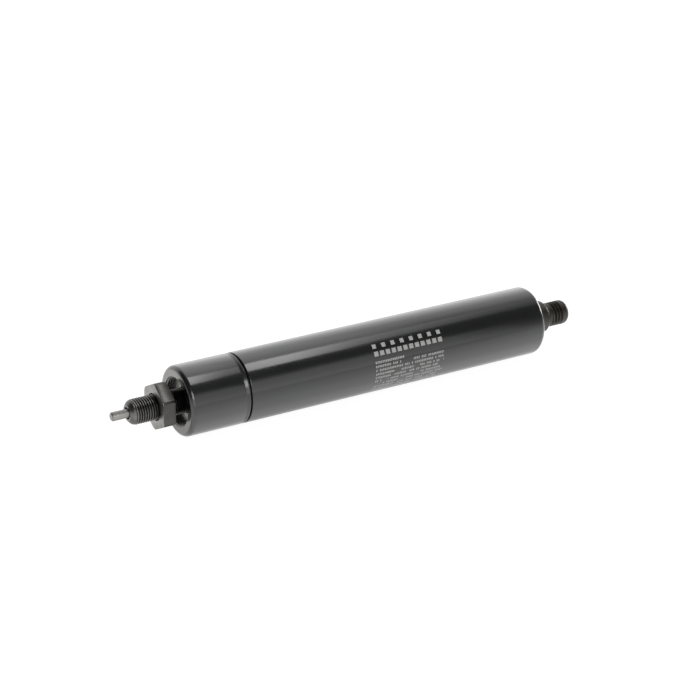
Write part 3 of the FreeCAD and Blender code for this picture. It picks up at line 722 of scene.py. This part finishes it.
# Painted falloff of the mirrored glow, weaker to the right and further off.
to_right = add(tree, "ShaderNodeMapRange",
               {"From Min": WEAKER_FROM_X, "From Max": WEAKER_TO_X, "To Min": WEAKER_LEFT,
                "To Max": WEAKER_RIGHT, "interpolation_type": "SMOOTHSTEP"}, {"Value": (axes, "X")})
far_off = add(tree, "ShaderNodeMapRange",
              {"From Min": FAR_FROM_Y, "From Max": FAR_TO_Y, "interpolation_type": "SMOOTHSTEP"},
              {"Value": (axes, "Y")})
weaker = add(tree, "ShaderNodeMath", {"operation": "MULTIPLY"},
             {0: (to_right, "Result"), 1: (far_off, "Result")})
kept = add(tree, "ShaderNodeMath", {"operation": "SUBTRACT", 0: 1.0}, {1: (weaker, "Value")})
mirrored = add(tree, "ShaderNodeMath", {"operation": "MULTIPLY"}, {0: (ramp, "Color"), 1: (kept, "Value")})
mirrored = add(tree, "ShaderNodeMath", {"operation": "MULTIPLY", 1: MIRRORED_GLOW}, {0: (mirrored, "Value")})
mirrored = add(tree, "ShaderNodeMath", {"operation": "MULTIPLY"},
               {0: (mirrored, "Value"), 1: (rays, "Is Glossy Ray")})
seen = add(tree, "ShaderNodeMath", {"operation": "ADD"},
           {0: (rays, "Is Camera Ray"), 1: (rays, "Is Transmission Ray")})
glow = add(tree, "ShaderNodeMath", {"operation": "MULTIPLY_ADD", 1: FLOOR_GLOW},
           {0: (seen, "Value"), 2: (mirrored, "Value")})
own_light = add(tree, "ShaderNodeEmission", links={"Strength": (glow, "Value")})
sheet_of_paper = add(tree, "ShaderNodeBsdfDiffuse", {"Color": colour(PAPER)})
both = add(tree, "ShaderNodeAddShader", links={0: (own_light, "Emission"), 1: (sheet_of_paper, "BSDF")})
add(tree, "ShaderNodeOutputMaterial", links={"Surface": (both, "Shader")})
floor.data.materials.append(paper)

# %% [markdown]
# ## Joining a piece to the frame
# A remade piece has to ride on its body, stand for its node and get its finish. Smooth shading up to an
# angle keeps the turned walls round and the corners crisp.

# %% Joining helper
SMOOTH_ANGLE = radians(28)


def finish_piece(piece, finish, body, slot, *nodes):
    """Shades a piece, gives it its finish and joins it to the frame."""
    if not piece.data.materials:
        piece.data.materials.append(finish)
    take(piece)
    bpy.ops.object.shade_smooth_by_angle(angle=SMOOTH_ANGLE)
    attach(piece, body)
    if nodes:
        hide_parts(*nodes)
    print(f"{piece.name}: {triangles(piece)} triangles")


# %% [markdown]
# ## Pressure tube
# A cold-drawn tube. Its front end is turned down and threaded for the collar, and its rear end is rolled
# over the plug, which leaves a smooth round of nearly 3 mm and a short lip. All of it is one outline for
# the lathe. Many sides keep the long reflections straight. The neck's thread never shows, so its turns stay
# plain rings.

# %% Pressure tube
TUBE_WALL = 3.0
TUBE_SIDES = 256
NECK_SHOULDER = 1.0
NECK_PITCH = 1.0
NECK_TURNS = 9
NECK_LEAD = 1.3
TUBE_EDGE = 0.35
REAR_ROUND = 2.7
LIP_WIDTH = 1.7
LIP_LENGTH = 1.8
LIP_EDGE = 0.2
SEAM_GAP = 0.75
SNAP_GROOVE_DEPTH = 0.8
THREAD_CREST = 0.125  # flat on a thread's crest, as a share of its pitch


def ring_thread(start, turns, pitch, crest_r):
    """Outline points of a hidden thread drawn as rings."""
    root_r = crest_r - THREAD_DEPTH * pitch
    slope = pitch * (1 - THREAD_CREST - THREAD_ROOT) / 2
    crest = THREAD_CREST * pitch
    points = []
    for turn in range(turns):
        foot = start + turn * pitch
        points += [(foot, root_r), (foot + slope, crest_r), (foot + slope + crest, crest_r)]
        points.append((foot + 2 * slope + crest, root_r))
    return points


seam = collar_rear + SEAM_GAP
bore_r = tube_r - TUBE_WALL
lip_r = bore_r - LIP_WIDTH
neck_r = tube_r - NECK_SHOULDER
neck_root_r = neck_r - THREAD_DEPTH * NECK_PITCH
snap_front, snap_rear = span("snap_ring")
snap_groove_r = bore_r + SNAP_GROOVE_DEPTH

outline = [(tube_front, bore_r), (tube_front, neck_root_r)]
outline += ring_thread(tube_front + NECK_LEAD, NECK_TURNS, NECK_PITCH, neck_r)
outline += [(seam, neck_root_r)]
outline += rounded((seam, tube_r), TUBE_EDGE, 180, 90, 4)
outline += rounded((tube_rear, tube_r), REAR_ROUND, 90, 0, 12)
outline += rounded((tube_rear, lip_r), LIP_EDGE, 0, -90, 4)
outline += [(tube_rear - LIP_LENGTH, lip_r), (tube_rear - LIP_LENGTH, bore_r)]
outline += [(snap_rear, bore_r), (snap_rear, snap_groove_r)]
outline += [(snap_front, snap_groove_r), (snap_front, bore_r)]
tube = turned("drawn_tube", outline, TUBE_SIDES)
finish_piece(tube, printed_enamel, "cylinder", "black_paint", "pressure_tube")

# %% [markdown]
# ## Front collar
# The collar screws onto the tube's neck. It has the tube's diameter, a generous round at the front, and at
# the seam a shallow groove and a lip that flares up again, before the enamel of both pieces ends in a dark
# gap. Its mouth has a short fine thread for the head that works the release pin, and a flat floor with a
# hole for the rod. The face and the mouth were turned last, so they are blackened steel. Three more
# materials on chosen faces give that, with no second mesh. The mouth's walls are drawn darker than the face
# as painted shade, and its floor nearly white as a painted reflection.

# %% Front collar
COLLAR_ROUND = 2.0
SEAM_GROOVE_BACK = 1.6
SEAM_GROOVE_WIDTH = 0.65
SEAM_GROOVE_DEPTH = 0.4
GROOVE_EDGE = 0.35
BEAD_DROP = 0.02
BEAD_ROUND = 0.25
FLARE_SUPPORTS = 0.12, 0.88  # points on the flare that keep its shading straight, as shares of its length
FACE_EDGE = 1.3
MOUTH_THREAD_R = 10.0
MOUTH_PITCH = 1.0
MOUTH_TURNS = 4
MOUTH_CHAMFER = 0.55
MOUTH_DEPTH = 4.2
COLLAR_BORE_R = 5.6
WIPER_LIP_R = 6.2
LIP_ROOM = 0.4
SEAT_GAP = 0.02
FLOOR_FACING = 0.9  # a face whose normal's X is past this looks along the axis

mouth_r = MOUTH_THREAD_R - THREAD_DEPTH * MOUTH_PITCH
mouth_floor = collar_front + MOUTH_DEPTH
groove_at = collar_rear - SEAM_GROOVE_BACK
bead_r = tube_r - BEAD_DROP
outline = [(collar_front, mouth_r + MOUTH_CHAMFER)]
outline += rounded((collar_front, tube_r), COLLAR_ROUND, 180, 90, 14)
outline += rounded((groove_at, tube_r), GROOVE_EDGE, 90, 15, 6)
flare_foot = (groove_at + SEAM_GROOVE_WIDTH / 6, tube_r - SEAM_GROOVE_DEPTH)
flare_top = (collar_rear - BEAD_ROUND, bead_r)
outline.append(flare_foot)
for share in FLARE_SUPPORTS:
    outline.append(tuple(foot + share * (top - foot) for foot, top in zip(flare_foot, flare_top)))
outline += rounded((collar_rear, bead_r), BEAD_ROUND, 90, 10, 8)
outline += [(collar_rear, neck_root_r + SEAT_GAP)]
neck_thread = ring_thread(tube_front + NECK_LEAD, NECK_TURNS, NECK_PITCH, neck_r)
outline += [(x, r + SEAT_GAP) for x, r in neck_thread[::-1]]
outline += [(bush_front, neck_root_r + SEAT_GAP), (bush_front, WIPER_LIP_R + LIP_ROOM)]
outline += [(wiper_front - LIP_ROOM, WIPER_LIP_R + LIP_ROOM), (wiper_front - LIP_ROOM, COLLAR_BORE_R)]
outline += [(mouth_floor, COLLAR_BORE_R), (mouth_floor, mouth_r), (collar_front + MOUTH_CHAMFER, mouth_r)]
collar = turned("screwed_collar", outline, TUBE_SIDES)
thread_inside(collar, collar_front - MOUTH_PITCH / 2, MOUTH_TURNS, MOUTH_PITCH, MOUTH_THREAD_R, sides=96,
              ease_out=0.4)

# The mouth's walls get painted shade and its floor a painted reflection.
for finish in (enamel, face_steel, mouth_wall_painted_shade, mouth_floor_painted_light):
    collar.data.materials.append(finish)
for face in collar.data.polygons:
    x, r = face.center.x / MM, sqrt(face.center.y ** 2 + face.center.z ** 2) / MM
    if r < tube_r - FACE_EDGE and x < bush_front:
        on_face = r > mouth_r + MOUTH_CHAMFER and x < collar_front + COLLAR_ROUND
        on_floor = face.normal.x < -FLOOR_FACING and abs(x - mouth_floor) < SEAT_GAP
        face.material_index = 1 if on_face else 3 if on_floor else 2
finish_piece(collar, enamel, "cylinder", "black_paint", "front_collar")

# %% [markdown]
# ## Piston rod
# A hollow rod, ground, threaded M10 with a fine pitch of 1 mm and then nitrided in a salt bath, which makes
# it nearly black and very hard. Its tip is chamfered and bored out a little round the release pin. The
# thread comes in over the chamfer and runs far into the collar. At the other end a smaller thread carries
# the piston.

# %% Piston rod
ROD_R = 5.0
ROD_PITCH = 1.0
ROD_THREAD_LENGTH = 29
ROD_THREAD_LEAD = 0.8
TIP_ROUND = 3.0
TIP_R = 3.3
TIP_CHAMFER = 1.6
TIP_EDGE = 0.25
RECESS_R = 2.4
RECESS_DEPTH = 2.5
PIN_R = 1.75
SLIDE_GAP = 0.05
SPIGOT_R = 4.0
SPIGOT_PITCH = 0.75
SPIGOT_TURNS = 11
ROD_SIDES = 144
TIP_STEPS = 8

shoulder = span("rebound_washer")[0]
piston_front = span("piston_body")[0]
pocket_front = span("stem_seal")[0] - SLIDE_GAP
pocket_r = reach("stem_guide") + SEAT_GAP
spigot_root_r = SPIGOT_R - THREAD_DEPTH * SPIGOT_PITCH
spigot_start = piston_front + (rod_rear - piston_front - SPIGOT_TURNS * SPIGOT_PITCH) / 2
rod_thread_start = rod_front + ROD_THREAD_LEAD
rod_thread_end = rod_thread_start + ROD_THREAD_LENGTH * ROD_PITCH
relief = THREAD_DEPTH * ROD_PITCH
chamfer_slope = (ROD_R - TIP_R) / TIP_CHAMFER

outline = [(rod_front, RECESS_R), (rod_front, TIP_R - TIP_EDGE / 2)]
outline += [(rod_front + TIP_EDGE / 2, TIP_R + TIP_EDGE / 4)]
turn = atan(chamfer_slope)
tip_end = rod_front + TIP_CHAMFER + TIP_ROUND * tan(turn / 2)
for i in range(TIP_STEPS + 1):
    at = turn * (1 - i / TIP_STEPS)
    outline.append((tip_end - TIP_ROUND * sin(at), ROD_R - TIP_ROUND * (1 - cos(at))))
outline += [(rod_thread_end - relief, ROD_R), (rod_thread_end, ROD_R - relief)]
outline += [(rod_thread_end + relief, ROD_R)]
outline += [(shoulder, ROD_R), (shoulder, spigot_root_r)]
outline += ring_thread(spigot_start, SPIGOT_TURNS, SPIGOT_PITCH, SPIGOT_R)
outline += [(rod_rear, spigot_root_r), (rod_rear, pocket_r), (pocket_front, pocket_r)]
outline += [(pocket_front, PIN_R + SLIDE_GAP), (rod_front + RECESS_DEPTH, PIN_R + SLIDE_GAP)]
outline += [(rod_front + RECESS_DEPTH, RECESS_R)]
rod = turned("hollow_rod", outline, ROD_SIDES)
thread_outside(rod, rod_thread_start, ROD_THREAD_LENGTH, ROD_PITCH, ROD_R, ease_in=0.5)
finish_piece(rod, rod_steel, "rod", "nitrided_rod", "piston_rod")

# %% [markdown]
# ## Jam nut
# A thin hexagon nut, 17 mm across its flats. It is cut from hexagon bar, so the flats are drawn and the two
# faces are turned, with a small chamfer of 30 degrees that only touches the corners. A six-sided cylinder
# is the bar. The part that it shares with a turned blank has the bar's rounded corners too, which a bevel
# would not give.

# %% Jam nut
NUT_FLATS = 17.0
NUT_FACE_R = 9.2
NUT_CORNER_R = 9.55
NUT_CHAMFER_ANGLE = 30
NUT_TURN = 28  # degrees of a corner from -Y towards +Z
NUT_EDGE = 0.07
NUT_MOUTH = 0.5
NUT_THREAD_TURNS = 8
DRILL_PAST = 1.0
END_FACING = 0.95  # a face whose normal's X is past this is an end face
CHAMFER_FACING = 0.3  # and past this it is at least a chamfer

corner_r = NUT_FLATS / sqrt(3)
nut_chamfer = (NUT_CORNER_R - NUT_FACE_R) * tan(radians(NUT_CHAMFER_ANGLE))
bar_turn = Matrix.Rotation(radians(-NUT_TURN), 3, "X") @ Matrix.Rotation(radians(90), 3, "Y")
nut = add_primitive(bpy.ops.mesh.primitive_cylinder_add, "hexagon_nut", vertices=6, radius=corner_r * MM,
                    depth=(nut_rear - nut_front) * MM, location=((nut_front + nut_rear) / 2 * MM, 0, 0),
                    rotation=bar_turn.to_euler())
bpy.ops.object.transform_apply(location=True, rotation=True, scale=True)
blank = turned("nut_blank", [(nut_front, 0), (nut_front, NUT_FACE_R), (nut_front + nut_chamfer, NUT_CORNER_R),
                             (nut_rear - nut_chamfer, NUT_CORNER_R), (nut_rear, NUT_FACE_R), (nut_rear, 0)])
apply_modifier(nut, "BOOLEAN", operation="INTERSECT", solver="EXACT", object=blank)
bpy.data.objects.remove(blank)
apply_modifier(nut, "BEVEL", width=NUT_EDGE * MM, segments=2, limit_method="ANGLE", angle_limit=radians(20))
hole_r = ROD_R - THREAD_DEPTH * ROD_PITCH + SEAT_GAP
drill_r = ROD_R + NUT_MOUTH + DRILL_PAST
drill = turned("drill", [(nut_front - DRILL_PAST, 0), (nut_front - DRILL_PAST, drill_r),
                         (nut_front + ROD_R + NUT_MOUTH - hole_r, hole_r),
                         (nut_rear - ROD_R - NUT_MOUTH + hole_r, hole_r),
                         (nut_rear + DRILL_PAST, drill_r), (nut_rear + DRILL_PAST, 0)], ROD_SIDES)
cut(nut, drill)
turns_before = int((nut_front - rod_thread_start) / ROD_PITCH) - 0.5
thread_inside(nut, rod_thread_start + turns_before * ROD_PITCH, NUT_THREAD_TURNS, ROD_PITCH,
              ROD_R + SEAT_GAP)
# The turned faces get the lighter steel, partly as their finish and partly as painted light.
for finish in (nut_face_steel_and_light, nut_flat_steel, nut_bore_painted_shade):
    nut.data.materials.append(finish)
for face in nut.data.polygons:
    r = sqrt(face.center.y ** 2 + face.center.z ** 2) / MM
    # The bore and countersink get the painted shade.
    in_bore = r < ROD_R + NUT_MOUTH and abs(face.normal.x) < END_FACING
    face.material_index = 2 if in_bore else 0 if abs(face.normal.x) > CHAMFER_FACING else 1
finish_piece(nut, nut_face_steel_and_light, "rod", "black_steel", "jam_nut")

# %% [markdown]
# ## Release pin
# A hardened pin, ground and left bright. It slides in the rod and pushes the valve open. It is cut from
# wire with a small chamfer at each end, so it is one short outline.

# %% Release pin
PIN_CHAMFER = 0.4
PIN_EDGE = 0.1
PIN_SIDES = 96

outline = [(pin_front, 0), (pin_front, PIN_R - PIN_CHAMFER - PIN_EDGE)]
outline += [(pin_front + PIN_EDGE / 2, PIN_R - PIN_CHAMFER)]
outline += [(pin_front + PIN_CHAMFER, PIN_R - PIN_EDGE / 2), (pin_front + PIN_CHAMFER + PIN_EDGE, PIN_R)]
outline += [(pin_rear - PIN_CHAMFER, PIN_R), (pin_rear, PIN_R - PIN_CHAMFER), (pin_rear, 0)]
pin = turned("ground_pin", outline, PIN_SIDES)
finish_piece(pin, pin_steel, "release", "pin_steel", "release_pin")

# %% [markdown]
# ## Rear stud
# The stud's root stands in the plug. Outside it has a boss, a cone and a short M10 thread with the coarse
# pitch of 1.5 mm. The thread starts beside the cone and ends in front of the well rounded tip.

# %% Rear stud
STUD_R = 5.0
STUD_PITCH = 1.5
STUD_TURNS = 4
STUD_SHANK = 0.9
STUD_ROUND = 2.2
BOSS_EDGE = 0.2

boss_r = reach("rear_stud")
boss_rear = STUD_R - boss_r
outline = [(stud_front, 0), (stud_front, STUD_R), (tube_rear, STUD_R), (tube_rear, boss_r)]
outline += [(boss_rear - BOSS_EDGE, boss_r), (boss_rear + BOSS_EDGE / 2, boss_r - BOSS_EDGE), (0, STUD_R)]
outline += rounded((stud_rear, STUD_R), STUD_ROUND, 90, 0, 8) + [(stud_rear, 0)]
stud = turned("threaded_stud", outline, ROD_SIDES)
thread_outside(stud, STUD_SHANK, STUD_TURNS, STUD_PITCH, STUD_R, ease_in=0.5, ease_out=0.6)
finish_piece(stud, stud_steel, "cylinder", "black_steel", "rear_stud")

# %% [markdown]
# ## Wiper ring
# A soft ring in the bush's front pocket. Its thin lip leans on the rod and keeps dust out, so its edges are
# rounded as moulded ones are.

# %% Wiper ring
LIP_ROUND = 0.2

on_rod_r = ROD_R + SLIDE_GAP
wiper_r = reach("wiper_ring")
lip_middle_r = (on_rod_r + WIPER_LIP_R) / 2
outline = [(wiper_front + LIP_ROUND, on_rod_r), (wiper_front, on_rod_r + LIP_ROUND)]
outline += [(wiper_front, lip_middle_r - LIP_ROUND), (wiper_front + LIP_ROUND, lip_middle_r)]
outline += [(bush_front, WIPER_LIP_R), (bush_front, wiper_r - LIP_ROUND)]
outline += [(bush_front + LIP_ROUND, wiper_r), (wiper_rear, wiper_r), (wiper_rear, on_rod_r)]
wiper = turned("lip_wiper", outline, ROD_SIDES)

# %% [markdown]
# ### Finishes of the inner pieces
# The inner pieces only show when the spring is taken apart or cut open, but each has its own stuff. Turned
# metals keep the fine rings of the tool. A sintered bush is pressed from iron powder, so it is grey-brown
# and full of pores. Rubber rings are moulded and matt. Polyurethane is amber, and the guide plastic is a
# pale, waxy acetal.

# %% Turned metals
METAL_SHADE_MM = 6


def turned_metal(name, dark, light, satin_low, satin_high, mark_mm):
    """Bare metal with the rings that a lathe tool leaves, on walls and faces alike."""
    material, tree, shader, place = new_finish(name)
    shade = mottled(tree, place, dark, light, METAL_SHADE_MM)[1]
    axes = add(tree, "ShaderNodeSeparateXYZ", links={"Vector": (place, "Object")})
    marks_at = add(tree, "ShaderNodeCombineXYZ",
                   links={"X": (axes, "X"), "Y": (from_axis(tree, axes), "Value")})
    marks = add(tree, "ShaderNodeTexNoise", {"Scale": per_metre(mark_mm), "Detail": 2},
                {"Vector": (marks_at, "Vector")})
    bump = add(tree, "ShaderNodeBump", {"Strength": 0.2, "Distance": RELIEF_MM * MM},
               {"Height": (marks, "Fac")})
    satin = add(tree, "ShaderNodeMapRange", {"To Min": satin_low, "To Max": satin_high},
                {"Value": (marks, "Fac")})
    link_surface(tree, shader, shade, satin, bump)
    set_constants(shader, Metallic=1.0)
    return material


bright_steel = turned_metal("turned_bright_steel", "b9bab9", "c8c8c6", 0.22, 0.36, 0.18)
bronze = turned_metal("turned_bronze", "a5783f", "b78a4e", 0.24, 0.40, 0.22)
aluminium = turned_metal("turned_aluminium", "c4c6c8", "d3d5d6", 0.26, 0.40, 0.25)

# %% Sintered iron
IRON_SHADE_MM = 4
PORE_MM = 0.35
PORE_RADIUS = 0.35  # as a share of the distance between pores
PORE_DEPTH_MM = 0.04

sintered_iron, tree, shader, place = new_finish("sintered_iron")
wander, shade = mottled(tree, place, "66615a", "7b756c", IRON_SHADE_MM)
pores = add(tree, "ShaderNodeTexVoronoi", {"Scale": per_metre(PORE_MM)}, {"Vector": (place, "Object")})
depth = add(tree, "ShaderNodeMapRange", {"From Min": 0.0, "From Max": PORE_RADIUS},
            {"Value": (pores, "Distance")})
bump = add(tree, "ShaderNodeBump", {"Strength": 0.5, "Distance": PORE_DEPTH_MM * MM},
           {"Height": (depth, "Result")})
satin = add(tree, "ShaderNodeMapRange", {"To Min": 0.42, "To Max": 0.58}, {"Value": (wander, "Fac")})
link_surface(tree, shader, shade, satin, bump)
set_constants(shader, Metallic=1.0)

# %% Moulded stuffs
MOULDED_SHADE_MM = 5
LIGHT_REACH_MM = 0.5  # how far light wanders in a plastic that lets some in


def moulded(name, dark, light, satin_low, satin_high, grain_mm, grain_depth_mm, ior, subsurface=0.0):
    """Rubber or plastic with the skin of its mould."""
    material, tree, shader, place = new_finish(name)
    shade = mottled(tree, place, dark, light, MOULDED_SHADE_MM)[1]
    grain = add(tree, "ShaderNodeTexNoise", {"Scale": per_metre(grain_mm), "Detail": 4},
                {"Vector": (place, "Object")})
    bump = add(tree, "ShaderNodeBump", {"Strength": 0.4, "Distance": grain_depth_mm * MM},
               {"Height": (grain, "Fac")})
    satin = add(tree, "ShaderNodeMapRange", {"To Min": satin_low, "To Max": satin_high},
                {"Value": (grain, "Fac")})
    link_surface(tree, shader, shade, satin, bump)
    set_constants(shader, IOR=ior, Subsurface_Weight=subsurface, Subsurface_Scale=LIGHT_REACH_MM * MM)
    return material


nitrile = moulded("nitrile_rubber", "181818", "212121", 0.48, 0.66, 0.4, 0.02, 1.52)
polyurethane = moulded("polyurethane_amber", "b99a4c", "c9ab5e", 0.30, 0.42, 0.8, 0.01, 1.50, subsurface=0.2)
wiper_rubber = moulded("wiper_polyurethane_black", "1d1d1e", "272728", 0.42, 0.58, 0.5, 0.02, 1.50)
acetal = moulded("acetal_ivory", "d9d5c8", "e4e0d4", 0.34, 0.46, 0.9, 0.01, 1.48, subsurface=0.15)
finish_piece(wiper, wiper_rubber, "cylinder", "polyurethane", "wiper_ring")

# %% Finishes for the pieces kept from the construction model
INNER_FINISHES = {
    bright_steel: ["push_rod", "valve_stem", "seal_washer", "snap_ring", "rebound_washer"],
    sintered_iron: ["guide_bush"],
    bronze: ["stem_guide", "valve_retainer"],
    aluminium: ["piston_body", "separator_piston"],
    nitrile: ["guide_o_ring", "end_plug_o_ring", "piston_o_ring", "stem_seal", "separator_o_rings"],
    polyurethane: ["rod_seal", "valve_seat"],
    acetal: ["seal_retainer", "piston_ring"],
    stud_steel: ["end_plug"],
}
for finish, nodes in INNER_FINISHES.items():
    for node in nodes:
        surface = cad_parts[node].data.materials
        surface.clear()
        surface.append(finish)
print("inner pieces finished:", sum(len(nodes) for nodes in INNER_FINISHES.values()))

# %% Last update of the scene
bpy.context.view_layer.update()
